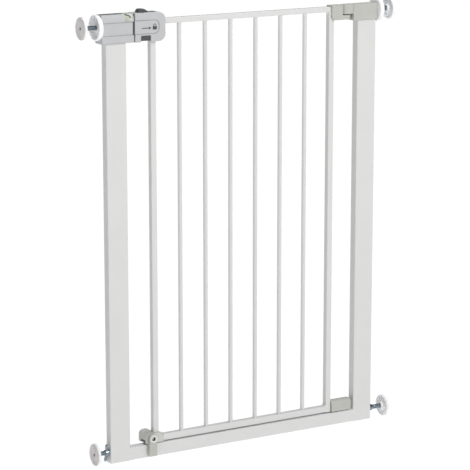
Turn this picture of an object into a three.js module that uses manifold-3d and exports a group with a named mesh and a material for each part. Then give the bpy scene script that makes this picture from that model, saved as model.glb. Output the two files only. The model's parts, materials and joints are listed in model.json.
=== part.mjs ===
// Pressure-fit stair gate: a U-shaped steel frame with a swinging barred door, a latch at the
// top of the left post, a hinge at each end of the right post, a stop catch at the door's foot,
// and four threaded wall pads that jam the frame between two walls.
//
// Gate frame, in millimetres: X runs along the gate from the left post's outer face, Y runs
// through it from the posts' front face, and Z runs up from the frame's underside. The whole
// gate is then moved so that the centre of the lower left pad's wall face is the origin.
import * as THREE from "three";
import { mergeVertices } from "three/addons/utils/BufferGeometryUtils.js";
import Module from "manifold-3d";

const wasm = await Module();
wasm.setup();

// ---------- driving dimensions ----------
const GAP = 0.3; // between pieces that touch
const FRAME_WIDTH = 630;
const DEPTH = 20; // posts and sill, front to back
const POST_WIDTH = 45;
const POST_HEIGHT = 901;
const SILL_HEIGHT = 27;
const TUBE_WALL = 1.3;
const TUBE_CORNER = 2.2;
const MID_Y = DEPTH / 2;

const DOOR_TUBE_DEPTH = 13;
const STILE_WIDTH = 12.4;
const DOOR_WALL = 1.2;
const DOOR_LEFT = 100.2; // left edge of the latch stile
const DOOR_RIGHT = 529.4; // right edge of the hinge stile
const DOOR_BOTTOM = 29.2;
const DOOR_TOP = 901.2;
const BOTTOM_RAIL_TOP = 43;
const TOP_RAIL_BOTTOM = 890.2;
const BAR_COUNT = 6;
const BAR_RADIUS = 4.5;
const BAR_WALL = 1;
const FIRST_BAR_X = 168.2;
const BAR_PITCH = 58.7;

const PIVOT_X = 560; // the door's hinge line
const PIN_RADIUS = 4;
const BRACKET_LEFT = 573;
const BRACKET_RIGHT = 632;
const BRACKET_BOTTOM = 870;
const BRACKET_TOP = 903.5;

const CASE_FRONT = -5.5; // latch housing and handle, front to back
const CASE_BACK = 25.5;
const CASE_BOTTOM = 858;
const CASE_TOP = 915;
const CASE_SPLIT = MID_Y; // front and rear shells meet here
const HOUSING_LEFT = -10;
const HOUSING_RIGHT = 59.7;
const HANDLE_LEFT = 62;
const HANDLE_RIGHT = 130;
const HANDLE_CORNER = 14.5;
const BOLT = { left: 62.6, right: 98, front: 5, back: 15, bottom: 880, top: 894 };

const TOP_SPINDLE_Z = 890;
const LOW_SPINDLE_Z = 21.5;
const SPINDLE_RADIUS = 4.75;
const SPINDLE_LENGTH = 70;
const THREAD_BORE = 4.95;
const PAD_RADIUS = 23;
const PAD_FACES = { topLeft: -50, lowLeft: -33, topRight: 670, lowRight: 670 };
const WHEEL_RADIUS = 25.5;
const WHEEL_WIDTH = 10;
const NUT_WIDTH = 8.7;
const NUT_REACH = 19.4;

const LEVER = { x: 92.7, z: 41.1, left: 84, right: 101.4, bottom: 4, front: -10, back: -2 };
const FOOT = { left: 80.5, step: 115.3, right: 124, front: -1.7, back: 22, bottom: 29.3, low: 44.3, top: 50 };

const FINE = 28; // sides of a wheel-sized round
const ROUND = 20; // sides of a bush-sized round
const SMALL = 12; // sides of a pin-sized round

// ---------- materials ----------
const paint = (color, roughness, metalness = 0) =>
  new THREE.MeshStandardMaterial({ color, roughness, metalness });
const powderCoat = paint(0xeceded, 0.42);
const silverPlastic = paint(0xc9cbcd, 0.45);
const hingePlastic = paint(0xc6c7c0, 0.55);
const darkPlastic = paint(0x3a3c3f, 0.6);
const whitePlastic = paint(0xf6f6f6, 0.35);
const nylon = paint(0xe8e8e4, 0.5);
const greyRubber = paint(0xb7b3b0, 0.85);
const zinc = paint(0x8f979f, 0.35, 0.9);
const lensPlastic = paint(0xdfe6d0, 0.15);
const indicatorPlastic = paint(0xa9cf7a, 0.5);

// ---------- solids ----------
function solid(geometry) {
  const bare = geometry.clone();
  bare.deleteAttribute("normal");
  bare.deleteAttribute("uv");
  const merged = mergeVertices(bare, 1e-4);
  const triVerts = new Uint32Array(merged.index.array);
  const mesh = (tris) =>
    new wasm.Mesh({ numProp: 3, vertProperties: merged.attributes.position.array, triVerts: tris });
  const made = new wasm.Manifold(mesh(triVerts));
  if (made.volume() > 0) return made;
  for (let i = 0; i < triVerts.length; i += 3) {
    [triVerts[i + 1], triVerts[i + 2]] = [triVerts[i + 2], triVerts[i + 1]];
  }
  return new wasm.Manifold(mesh(triVerts));
}

const join = (first, ...others) => others.reduce((sum, other) => sum.add(other), first);
const cut = (first, ...tools) => tools.reduce((rest, tool) => rest.subtract(tool), first);

function box([x0, x1], [y0, y1], [z0, z1]) {
  const geometry = new THREE.BoxGeometry(x1 - x0, y1 - y0, z1 - z0);
  geometry.translate((x0 + x1) / 2, (y0 + y1) / 2, (z0 + z1) / 2);
  return solid(geometry);
}

function outline(points) {
  return new THREE.Shape(points.map(([u, v]) => new THREE.Vector2(u, v)));
}

// A rectangle whose corners have the radii [lower left, lower right, upper right, upper left].
function roundedOutline([u0, u1], [v0, v1], radii) {
  const [a, b, c, d] = Array.isArray(radii) ? radii : [radii, radii, radii, radii];
  const shape = new THREE.Shape();
  const turn = (u, v, r, from) => {
    if (r > 0) shape.absarc(u, v, r, from, from + Math.PI / 2, false);
    else shape.lineTo(u, v);
  };
  shape.moveTo(u0 + a, v0);
  turn(u1 - b, v0 + b, b, -Math.PI / 2);
  turn(u1 - c, v1 - c, c, 0);
  turn(u0 + d, v1 - d, d, Math.PI / 2);
  turn(u0 + a, v0 + a, a, Math.PI);
  return shape;
}

// Extrusions of an outline drawn in (y, z), (x, z) or (x, y), along the axis that is left.
function alongX(shape, [x0, x1], curveSegments = 3) {
  const geometry = new THREE.ExtrudeGeometry(shape, {
    depth: x1 - x0, bevelEnabled: false, curveSegments,
  });
  const turn = new THREE.Matrix4().makeBasis(
    new THREE.Vector3(0, 1, 0), new THREE.Vector3(0, 0, 1), new THREE.Vector3(1, 0, 0),
  );
  return solid(geometry.applyMatrix4(turn).translate(x0, 0, 0));
}

function alongY(shape, [y0, y1], curveSegments = 3) {
  const geometry = new THREE.ExtrudeGeometry(shape, {
    depth: y1 - y0, bevelEnabled: false, curveSegments,
  });
  return solid(geometry.rotateX(Math.PI / 2).translate(0, y1, 0));
}

function alongZ(shape, [z0, z1], curveSegments = 3) {
  const geometry = new THREE.ExtrudeGeometry(shape, {
    depth: z1 - z0, bevelEnabled: false, curveSegments,
  });
  return solid(geometry.translate(0, 0, z0));
}

function rodX(radius, [x0, x1], y, z, sides = SMALL) {
  const geometry = new THREE.CylinderGeometry(radius, radius, x1 - x0, sides);
  return solid(geometry.rotateZ(-Math.PI / 2).translate((x0 + x1) / 2, y, z));
}

function rodY(radius, [y0, y1], x, z, sides = SMALL) {
  const geometry = new THREE.CylinderGeometry(radius, radius, y1 - y0, sides);
  return solid(geometry.translate(x, (y0 + y1) / 2, z));
}

function rodZ(radius, [z0, z1], x, y, sides = SMALL) {
  const geometry = new THREE.CylinderGeometry(radius, radius, z1 - z0, sides);
  return solid(geometry.rotateX(Math.PI / 2).translate(x, y, (z0 + z1) / 2));
}

// A turned piece on the X axis. The profile is a list of [radius, distance along +X].
function turned(profile, sides = FINE) {
  const points = profile.map(([r, x]) => new THREE.Vector2(r, x));
  return solid(new THREE.LatheGeometry(points, sides).rotateZ(-Math.PI / 2));
}

// A turned piece placed with its profile's zero at x, facing right (+1) or left (-1).
const facing = (piece, side, x, y, z) =>
  (side > 0 ? piece : piece.mirror([1, 0, 0])).translate([x, y, z]);

const gate = new THREE.Group();

function place(name, made, material) {
  const { vertProperties, triVerts, numProp } = made.getMesh();
  const geometry = new THREE.BufferGeometry();
  const positions = new THREE.InterleavedBuffer(vertProperties, numProp);
  geometry.setAttribute("position", new THREE.InterleavedBufferAttribute(positions, 3, 0));
  geometry.setIndex(new THREE.BufferAttribute(triVerts, 1));
  geometry.computeVertexNormals();
  const mesh = new THREE.Mesh(geometry, material);
  mesh.name = name;
  gate.add(mesh);
}

// A rectangular tube: its outer outline less its bore, both in the outline's two axes.
function tubeOutline([u0, u1], [v0, v1], wall, corner) {
  const shape = roundedOutline([u0, u1], [v0, v1], corner);
  shape.holes.push(roundedOutline([u0 + wall, u1 - wall], [v0 + wall, v1 - wall], 0));
  return shape;
}

// ---------- frame ----------
const SPINDLES = [
  { name: "top_left", side: -1, base: 0, z: TOP_SPINDLE_Z, pad: PAD_FACES.topLeft },
  { name: "bottom_left", side: -1, base: 0, z: LOW_SPINDLE_Z, pad: PAD_FACES.lowLeft },
  { name: "top_right", side: 1, base: FRAME_WIDTH, z: TOP_SPINDLE_Z, pad: PAD_FACES.topRight },
  { name: "bottom_right", side: 1, base: FRAME_WIDTH, z: LOW_SPINDLE_Z, pad: PAD_FACES.lowRight },
];
const BUSH = { barrel: 6.4, flange: 8.2, length: 12, hole: 6.8, bore: 5.05 };

function post([x0, x1], outerX) {
  const bore = [x0 + TUBE_WALL, x1 - TUBE_WALL];
  const body = alongZ(roundedOutline([x0, x1], [0, DEPTH], TUBE_CORNER), [0, POST_HEIGHT]);
  const hollow = box(bore, [TUBE_WALL, DEPTH - TUBE_WALL], [TUBE_WALL, POST_HEIGHT + 1]);
  const holes = [TOP_SPINDLE_Z, LOW_SPINDLE_Z].map((z) =>
    rodX(BUSH.hole, [outerX - 3, outerX + 3], MID_Y, z, ROUND),
  );
  return cut(body, hollow, ...holes);
}

place("left_post", post([0, POST_WIDTH], 0), powderCoat);
place("right_post", post([FRAME_WIDTH - POST_WIDTH, FRAME_WIDTH], FRAME_WIDTH), powderCoat);
place(
  "sill_rail",
  alongX(
    tubeOutline([0, DEPTH], [0, SILL_HEIGHT], TUBE_WALL, TUBE_CORNER),
    [POST_WIDTH + GAP, FRAME_WIDTH - POST_WIDTH - GAP],
  ),
  powderCoat,
);

// ---------- wall pads, spindles and their nuts ----------
const PAD = { thick: 6, faceRadius: 20.5, faceThick: 2, hubRadius: 8, hubEnd: 10, socket: 3.4 };

function padBody() {
  const seat = PAD.faceThick + GAP;
  const bore = SPINDLE_RADIUS + GAP;
  return turned([
    [0, seat], [PAD.faceRadius + GAP, seat], [PAD.faceRadius + GAP, 0.5], [PAD_RADIUS, 0.5],
    [PAD_RADIUS, PAD.thick - 1], [PAD_RADIUS - 2, PAD.thick], [PAD.hubRadius + 1, PAD.thick - 1],
    [PAD.hubRadius, PAD.hubEnd], [bore, PAD.hubEnd], [bore, PAD.socket], [0, PAD.socket],
  ]);
}

function handWheel() {
  const lip = WHEEL_RADIUS - 1;
  return turned([
    [THREAD_BORE, 0], [lip - 2, 0], [lip, 1], [WHEEL_RADIUS, 3], [WHEEL_RADIUS, WHEEL_WIDTH - 2],
    [lip, WHEEL_WIDTH], [lip - 3, WHEEL_WIDTH], [lip - 4, 3], [9, 3], [8.5, 5.5],
    [THREAD_BORE, 5.5], [THREAD_BORE, 0],
  ]);
}

function wingNut(tilt) {
  const hub = turned(
    [[THREAD_BORE, 0], [7.5, 0], [7.5, 3], [6.2, NUT_WIDTH], [THREAD_BORE, NUT_WIDTH],
      [THREAD_BORE, 0]], ROUND,
  );
  const wing = new THREE.Shape();
  wing.moveTo(1.2, 6.4);
  wing.lineTo(2.6, 12);
  wing.absarc(NUT_WIDTH - 3.4, NUT_REACH - 3.4, 3.4, Math.PI * 0.75, 0, true);
  wing.lineTo(NUT_WIDTH - 1.4, 5.6);
  const flat = new THREE.ExtrudeGeometry(wing, { depth: 3, bevelEnabled: false, curveSegments: 5 });
  const stand = new THREE.Matrix4().makeBasis(
    new THREE.Vector3(1, 0, 0), new THREE.Vector3(0, 0, 1), new THREE.Vector3(0, -1, 0),
  );
  const up = solid(flat.applyMatrix4(stand).translate(0, 1.5, 0));
  const down = up.rotate([180, 0, 0]);
  return join(hub, up, down).rotate([tilt, 0, 0]);
}

function spindleBush() {
  return turned(
    [[BUSH.bore, 0.2], [BUSH.barrel, 0.2], [BUSH.barrel, TUBE_WALL + GAP],
      [BUSH.flange, TUBE_WALL + GAP], [BUSH.flange, TUBE_WALL + GAP + 1.5],
      [BUSH.barrel, TUBE_WALL + GAP + 1.5], [BUSH.barrel, BUSH.length], [BUSH.bore, BUSH.length],
      [BUSH.bore, 0.2]], ROUND,
  );
}

for (const { name, side, base, z, pad } of SPINDLES) {
  const inward = -side;
  const at = (piece, x) => facing(piece, inward, x, MID_Y, z);
  const start = pad + inward * (PAD.socket + GAP);
  const ends = [start, start + inward * SPINDLE_LENGTH].sort((a, b) => a - b);
  place("spindle_bush_" + name, at(spindleBush(), base), nylon);
  place("spindle_" + name, rodX(SPINDLE_RADIUS, ends, MID_Y, z, ROUND), zinc);
  place("wall_pad_" + name, at(padBody(), pad), whitePlastic);
  const disc = turned([[0, 0], [PAD.faceRadius, 0], [PAD.faceRadius, PAD.faceThick],
    [0, PAD.faceThick]]);
  place("pad_facing_" + name, at(disc, pad), greyRubber);
}
const wheelOn = (x, side) => facing(handWheel(), side, x, MID_Y, TOP_SPINDLE_Z);
place("hand_wheel_top_left", wheelOn(HOUSING_LEFT - GAP, -1), whitePlastic);
place("hand_wheel_top_right", wheelOn(BRACKET_RIGHT + GAP, 1), whitePlastic);
const nutOn = (x, side, tilt) => facing(wingNut(tilt), side, x, MID_Y, LOW_SPINDLE_Z);
place("wing_nut_bottom_left", nutOn(-GAP, -1, 12), zinc);
place("wing_nut_bottom_right", nutOn(FRAME_WIDTH + GAP, 1, 68), zinc);

// ---------- latch housing on the left post ----------
const BAND = { low: 872.6, high: 899.6, recess: 0.9 }; // the sunk middle band of its face
const POCKET = { x: [47.5, 60.7], y: [4, 16], z: [878, 896] }; // where the thrown bolt goes
const KEEPER = { x: [54.5, 56.5], y: [2, 18], z: [871, 903], rim: 0.4 };
const STRIP = { x: [-8, 39.5], y: [1.5, 18.5], deep: 1.4 };
const WINDOW = { x: [41.3, 57], back: 18.5, bottom: 900.2, bend: 906, slope: 4 };
const LENS_THICK = 1.3;
const SLIDE_THICK = 1.3; // the indicator slide under the lens
const SLIDE_ROOM = 3.2; // and how far its ends stand from the window's
const HOUSING_SCREWS = [[-5.2, 866], [52, 864]];
const SCREW = { shank: 1.5, hole: 1.9, head: 3, headThick: 1.8, tip: 2, sunk: 0.5 };

function housingSection() {
  const f = CASE_FRONT;
  const b = CASE_BACK;
  return outline([
    [f + 2, CASE_BOTTOM], [b - 2, CASE_BOTTOM], [b, CASE_BOTTOM + 2], [b, 906], [b - 3.4, 914],
    [b - 5.4, CASE_TOP], [f + 5.4, CASE_TOP], [f + 3.4, 914], [f, 906],
    [f, BAND.high], [f + BAND.recess, BAND.high - 0.6], [f + BAND.recess, BAND.low + 0.6],
    [f, BAND.low], [f, CASE_BOTTOM + 2],
  ]);
}

// The window's section in (y, z): a skin that follows the upper band and wraps over the top,
// between two depths below the housing's face. Its ends are longer by room.
function windowSection(from, to, room = 0) {
  const skin = (deep) => [
    [CASE_FRONT + deep, WINDOW.bottom - room],
    [CASE_FRONT + deep, WINDOW.bend - 0.21 * deep],
    [CASE_FRONT + WINDOW.slope + 0.65 * deep, CASE_TOP - deep],
    [WINDOW.back + room, CASE_TOP - deep],
  ];
  return outline([...skin(from), ...skin(to).reverse()]);
}

function screwHoles(spots, toBack) {
  return spots.flatMap(([x, z]) => {
    const shank = rodY(SCREW.hole, [SCREW.tip - 1, toBack], x, z);
    const head = SCREW.sunk + SCREW.headThick + GAP;
    return [shank, rodY(SCREW.head + GAP, [CASE_BACK - head, toBack], x, z)];
  });
}

function housingBlock() {
  const clear = GAP + 0.1;
  const whole = alongX(housingSection(), [HOUSING_LEFT, HOUSING_RIGHT]);
  const pocketDepth = LENS_THICK + SLIDE_THICK + 2.3 * GAP;
  const pocket = alongX(
    windowSection(-1, pocketDepth, GAP),
    [WINDOW.x[0] - GAP, WINDOW.x[1] + GAP],
  );
  return cut(
    whole,
    box([-clear, POST_WIDTH + clear], [-clear, DEPTH + clear], [CASE_BOTTOM - 1, POST_HEIGHT + 8]),
    box(POCKET.x, POCKET.y, POCKET.z),
    box(...[KEEPER.x, KEEPER.y, KEEPER.z].map(([low, high]) => [low - GAP, high + GAP])),
    rodX(SPINDLE_RADIUS + 0.4, [HOUSING_LEFT - 1, 1], MID_Y, TOP_SPINDLE_Z, ROUND),
    box(
      [STRIP.x[0] - GAP, STRIP.x[1] + GAP],
      [STRIP.y[0] - GAP, STRIP.y[1] + GAP],
      [CASE_TOP - STRIP.deep - GAP, CASE_TOP + 1],
    ),
    pocket,
    ...screwHoles(HOUSING_SCREWS, CASE_BACK + 1),
  );
}

const FAR = 2000;
const beforeSplit = box([-FAR, FAR], [-FAR, CASE_SPLIT - GAP / 2], [-FAR, FAR]);
const behindSplit = box([-FAR, FAR], [CASE_SPLIT + GAP / 2, FAR], [-FAR, FAR]);

function placeScrew(name, [x, z]) {
  const headTop = CASE_BACK - SCREW.sunk;
  const head = rodY(SCREW.head, [headTop - SCREW.headThick, headTop], x, z);
  place(name, join(head, rodY(SCREW.shank, [SCREW.tip, headTop - 1], x, z)), zinc);
}

const housing = housingBlock();
place("latch_housing_front", housing.intersect(beforeSplit), silverPlastic);
place("latch_housing_rear", housing.intersect(behindSplit), silverPlastic);
place("housing_top_strip", box(STRIP.x, STRIP.y, [CASE_TOP - STRIP.deep, CASE_TOP]), darkPlastic);
place("indicator_lens", alongX(windowSection(0, LENS_THICK), WINDOW.x), lensPlastic);
place(
  "indicator_slide",
  alongX(
    windowSection(LENS_THICK + GAP, LENS_THICK + GAP + SLIDE_THICK),
    [WINDOW.x[0] + SLIDE_ROOM, WINDOW.x[1] - SLIDE_ROOM],
  ),
  indicatorPlastic,
);
HOUSING_SCREWS.forEach((spot, i) => placeScrew("housing_screw_" + (i + 1), spot));
place(
  "keeper_plate",
  cut(
    box(KEEPER.x, KEEPER.y, KEEPER.z),
    box(
      [KEEPER.x[0] - 1, KEEPER.x[1] + 1],
      [POCKET.y[0] + KEEPER.rim, POCKET.y[1] - KEEPER.rim],
      [POCKET.z[0] + KEEPER.rim, POCKET.z[1] - KEEPER.rim],
    ),
  ),
  zinc,
);
place(
  "strike_buffer",
  cut(
    alongX(
      roundedOutline([CASE_FRONT + 0.8, CASE_BACK - 0.8], [CASE_BOTTOM + 0.6, CASE_TOP - 1], 3),
      [HOUSING_RIGHT + GAP, HOUSING_RIGHT + GAP + 1.1],
    ),
    box([HOUSING_RIGHT, HANDLE_LEFT], POCKET.y, POCKET.z),
  ),
  darkPlastic,
);

// ---------- door panel ----------
const doorDepth = [MID_Y - DOOR_TUBE_DEPTH / 2, MID_Y + DOOR_TUBE_DEPTH / 2];
const stile = (x0) =>
  alongZ(tubeOutline([x0, x0 + STILE_WIDTH], doorDepth, DOOR_WALL, 1.5), [DOOR_BOTTOM, DOOR_TOP], 2);
const railSpan = [DOOR_LEFT + STILE_WIDTH + GAP, DOOR_RIGHT - STILE_WIDTH - GAP];
const rail = (zs) => alongX(tubeOutline(doorDepth, zs, DOOR_WALL, 1.5), railSpan, 2);
place("latch_stile", stile(DOOR_LEFT), powderCoat);
place("hinge_stile", stile(DOOR_RIGHT - STILE_WIDTH), powderCoat);
place("door_top_rail", rail([TOP_RAIL_BOTTOM, DOOR_TOP]), powderCoat);
place("door_bottom_rail", rail([DOOR_BOTTOM, BOTTOM_RAIL_TOP]), powderCoat);
for (let i = 0; i < BAR_COUNT; i++) {
  const x = FIRST_BAR_X + i * BAR_PITCH;
  const span = [BOTTOM_RAIL_TOP + GAP, TOP_RAIL_BOTTOM - GAP];
  const bar = rodZ(BAR_RADIUS, span, x, MID_Y, 14);
  const bore = rodZ(BAR_RADIUS - BAR_WALL, [span[0] - 1, span[1] + 1], x, MID_Y, 14);
  place("door_bar_" + (i + 1), cut(bar, bore), powderCoat);
}

// Space that a piece wrapped round the door's tubes leaves for them.
const stileSpace = (x0, zs) =>
  box([x0 - GAP, x0 + STILE_WIDTH + GAP], [doorDepth[0] - GAP, doorDepth[1] + GAP], zs);
const railSpace = (xs, zs) => box(xs, [doorDepth[0] - GAP, doorDepth[1] + GAP], zs);

// ---------- hinges ----------
const LUG = { radius: 11.5, bottom: 884.5 };
const TAB = { radius: 11, bottom: 873, top: 882.3 };
const BLOCK = { left: 521.5, right: 547.7, half: 11, top: 903.5 };
const LOW_BLOCK = { left: 529.8, right: 578, bottom: 29.2, top: 53, bore: 47 };

function topBracket() {
  const clear = GAP + 0.1;
  const cap = alongX(
    roundedOutline([-3, DEPTH + 3], [BRACKET_BOTTOM, BRACKET_TOP], 1.5),
    [BRACKET_LEFT, BRACKET_RIGHT], 2,
  );
  const lug = join(
    box(
      [PIVOT_X, BRACKET_LEFT + 1],
      [MID_Y - LUG.radius, MID_Y + LUG.radius],
      [LUG.bottom, BRACKET_TOP],
    ),
    rodZ(LUG.radius, [LUG.bottom, BRACKET_TOP], PIVOT_X, MID_Y, FINE),
  );
  return cut(
    join(cap, lug),
    box(
      [FRAME_WIDTH - POST_WIDTH - clear, FRAME_WIDTH + clear],
      [-clear, DEPTH + clear],
      [BRACKET_BOTTOM - 1, POST_HEIGHT + clear],
    ),
    rodX(SPINDLE_RADIUS + 0.4, [FRAME_WIDTH - 1, BRACKET_RIGHT + 1], MID_Y, TOP_SPINDLE_Z, ROUND),
    rodZ(PIN_RADIUS + 0.1, [LUG.bottom - 1, BRACKET_TOP - 2], PIVOT_X, MID_Y, ROUND),
  );
}

function topBlock() {
  const face = outline([
    [BLOCK.left, BLOCK.top], [BLOCK.left, TAB.bottom + 6], [BLOCK.left + 4, TAB.bottom],
    [PIVOT_X, TAB.bottom], [PIVOT_X, TAB.top], [BLOCK.right, TAB.top], [BLOCK.right, BLOCK.top],
  ]);
  const depth = [MID_Y - BLOCK.half, MID_Y + BLOCK.half];
  const body = join(
    alongY(face, depth),
    rodZ(TAB.radius, [TAB.bottom, TAB.top], PIVOT_X, MID_Y, FINE),
  );
  return cut(
    body,
    stileSpace(DOOR_RIGHT - STILE_WIDTH, [TAB.bottom - 2, DOOR_TOP + GAP]),
    rodZ(PIN_RADIUS + 0.15, [TAB.bottom + 1.5, TAB.top + 2], PIVOT_X, MID_Y, ROUND),
  );
}

function bottomBlock() {
  const depth = [MID_Y - BLOCK.half, MID_Y + BLOCK.half];
  const body = alongX(
    roundedOutline(depth, [LOW_BLOCK.bottom, LOW_BLOCK.top], [1, 1, 3.5, 3.5]),
    [LOW_BLOCK.left, LOW_BLOCK.right],
  );
  return cut(
    body,
    rodZ(PIN_RADIUS + 0.15, [LOW_BLOCK.bottom - 1, LOW_BLOCK.bore], PIVOT_X, MID_Y, ROUND),
  );
}

function bottomPivot() {
  const plate = box([547, 573], [2, DEPTH - 2], [SILL_HEIGHT + GAP, SILL_HEIGHT + 1.7]);
  const pin = rodZ(PIN_RADIUS, [SILL_HEIGHT + 1.5, LOW_BLOCK.bore - 1.5], PIVOT_X, MID_Y, ROUND);
  return join(plate, pin);
}

place("top_hinge_bracket", topBracket(), hingePlastic);
place(
  "top_hinge_pin",
  rodZ(PIN_RADIUS, [TAB.bottom + 2, BRACKET_TOP - 2.5], PIVOT_X, MID_Y, ROUND),
  zinc,
);
place("top_hinge_block", topBlock(), hingePlastic);
place("bottom_hinge_block", bottomBlock(), hingePlastic);
place("bottom_pivot_stud", bottomPivot(), zinc);

// ---------- door handle, bolt and trigger ----------
const TRIGGER = { x: [74.7, 97.3], y: [-2.8, 22.8], z: [859.5, 870.9], travel: 4, corner: 2.5 };
const NOTCH_TOP = 870.2;
const SPRING = { x: 86, radius: 2.6, wire: 0.45, bottom: 864.8, top: 874.4, turns: 4 };
const THROAT = { x: [63.8, 99.2], y: [3.8, 16.2], z: [878, 912] };
const STEM = { x: [76, 88], y: [7.4, 12.6] };
const BOLT_THROW = 10;
const KNOB = { left: 73, right: 96.8, y: [2, 18], bottom: 915.5, top: 921.8 };
const HANDLE_STRIP = { x: [98.5, 114], y: [3, 17], deep: 1.4 };
const HANDLE_SCREWS = [[68.5, 868], [120, 868]];

function handleBlock() {
  const face = roundedOutline(
    [HANDLE_LEFT + 1, HANDLE_RIGHT - 1],
    [CASE_BOTTOM + 0.5, CASE_TOP - 1],
    [0.5, HANDLE_CORNER - 1, HANDLE_CORNER - 1, 0.5],
  );
  const geometry = new THREE.ExtrudeGeometry(face, {
    depth: CASE_BACK - CASE_FRONT - 2, curveSegments: 5,
    bevelEnabled: true, bevelThickness: 1, bevelSize: 1, bevelSegments: 1,
  });
  const whole = solid(geometry.rotateX(Math.PI / 2).translate(0, CASE_BACK - 1, 0));
  const room = GAP / 2;
  const shaft = STEM.x[0] - BOLT_THROW - room;
  return cut(
    whole,
    box(THROAT.x, THROAT.y, THROAT.z),
    box([HANDLE_LEFT - 1, 70], [BOLT.front - 0.4, BOLT.back + 0.4], [BOLT.bottom - 0.4, BOLT.top + 0.4]),
    box([shaft, STEM.x[1] + room], [STEM.y[0] - 0.4, STEM.y[1] + 0.4], [900, CASE_TOP + 1]),
    stileSpace(DOOR_LEFT, [CASE_BOTTOM - 1, DOOR_TOP + GAP]),
    railSpace([110, HANDLE_RIGHT + 1], [TOP_RAIL_BOTTOM - GAP, DOOR_TOP + GAP]),
    box(
      [TRIGGER.x[0] - 0.3, TRIGGER.x[1] + 0.3],
      [TRIGGER.y[0] - 0.3, TRIGGER.y[1] + 0.3],
      [CASE_BOTTOM - 2, TRIGGER.z[1] + TRIGGER.travel + 0.4],
    ),
    alongY(
      roundedOutline([TRIGGER.x[0], TRIGGER.x[1]], [CASE_BOTTOM - 6, NOTCH_TOP], TRIGGER.corner),
      [CASE_FRONT - 1, CASE_BACK + 1],
    ),
    box(
      [HANDLE_STRIP.x[0] - GAP, HANDLE_STRIP.x[1] + GAP],
      [HANDLE_STRIP.y[0] - GAP, HANDLE_STRIP.y[1] + GAP],
      [CASE_TOP - HANDLE_STRIP.deep - GAP, CASE_TOP + 1],
    ),
    ...screwHoles(HANDLE_SCREWS, CASE_BACK + 1),
  );
}

function latchBolt() {
  const tip = 4; // the nose is chamfered on both sides, to find its slot
  const plan = outline([
    [BOLT.left, BOLT.front + 2], [BOLT.left + tip, BOLT.front], [BOLT.right, BOLT.front],
    [BOLT.right, BOLT.back], [BOLT.left + tip, BOLT.back], [BOLT.left, BOLT.back - 2],
  ]);
  const socket = box([STEM.x[0] - GAP, STEM.x[1] + GAP], [STEM.y[0] - GAP, STEM.y[1] + GAP],
    [BOLT.top - 6, BOLT.top + 1]);
  return cut(alongZ(plan, [BOLT.bottom, BOLT.top]), socket);
}

function thumbSlide() {
  const side = outline([
    [KNOB.left, KNOB.bottom], [KNOB.right, KNOB.bottom], [KNOB.right, KNOB.bottom + 0.8],
    [KNOB.right - 5, KNOB.bottom + 3.2], [KNOB.left + 15, KNOB.top - 0.4],
    [KNOB.left + 12, KNOB.top], [KNOB.left + 5.5, KNOB.top], [KNOB.left + 3, KNOB.top - 1.2],
  ]);
  return join(
    alongY(side, KNOB.y),
    box(STEM.x, STEM.y, [BOLT.top - 6 + GAP, KNOB.bottom + 1]),
  );
}

function squeezeTrigger() {
  const face = roundedOutline(TRIGGER.x, TRIGGER.z, [0.6, 0.6, TRIGGER.corner, TRIGGER.corner]);
  return cut(
    alongY(face, TRIGGER.y),
    rodZ(SPRING.radius + 1, [SPRING.bottom - GAP, TRIGGER.z[1] + 1], SPRING.x, MID_Y, SMALL),
  );
}

// A helix of round wire that rises from bottom to top about (x, MID_Y).
class Helix extends THREE.Curve {
  getPoint(t) {
    const turn = t * SPRING.turns * 2 * Math.PI;
    return new THREE.Vector3(
      SPRING.x + SPRING.radius * Math.cos(turn),
      MID_Y + SPRING.radius * Math.sin(turn),
      SPRING.bottom + SPRING.wire + t * (SPRING.top - SPRING.bottom - 2 * SPRING.wire),
    );
  }
}

function triggerSpring() {
  const wire = new THREE.Shape().absarc(0, 0, SPRING.wire, 0, 2 * Math.PI, false);
  const geometry = new THREE.ExtrudeGeometry(wire, {
    steps: SPRING.turns * 10, curveSegments: 5, extrudePath: new Helix(),
  });
  return solid(geometry);
}

const handle = handleBlock();
place("handle_front", handle.intersect(beforeSplit), silverPlastic);
place("handle_rear", handle.intersect(behindSplit), silverPlastic);
place(
  "handle_top_strip",
  box(HANDLE_STRIP.x, HANDLE_STRIP.y, [CASE_TOP - HANDLE_STRIP.deep, CASE_TOP]),
  darkPlastic,
);
HANDLE_SCREWS.forEach((spot, i) => placeScrew("handle_screw_" + (i + 1), spot));
place("latch_bolt", latchBolt(), zinc);
place("thumb_slide", thumbSlide(), darkPlastic);
place("squeeze_trigger", squeezeTrigger(), darkPlastic);
place("trigger_spring", triggerSpring(), zinc);

// ---------- stop catch at the door's foot ----------
const CHEEK = { right: 101, back: 32, bottom: 28.5, top: 52, corner: 9 };
const PIVOT_PIN = { shank: 2.4, head: 3, headThick: 1.6, front: -8.4, end: 8 };
const BOSS = { radius: 9.4, front: -12, recess: 4, recessDepth: 5.5, bore: 2.7 };

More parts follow.
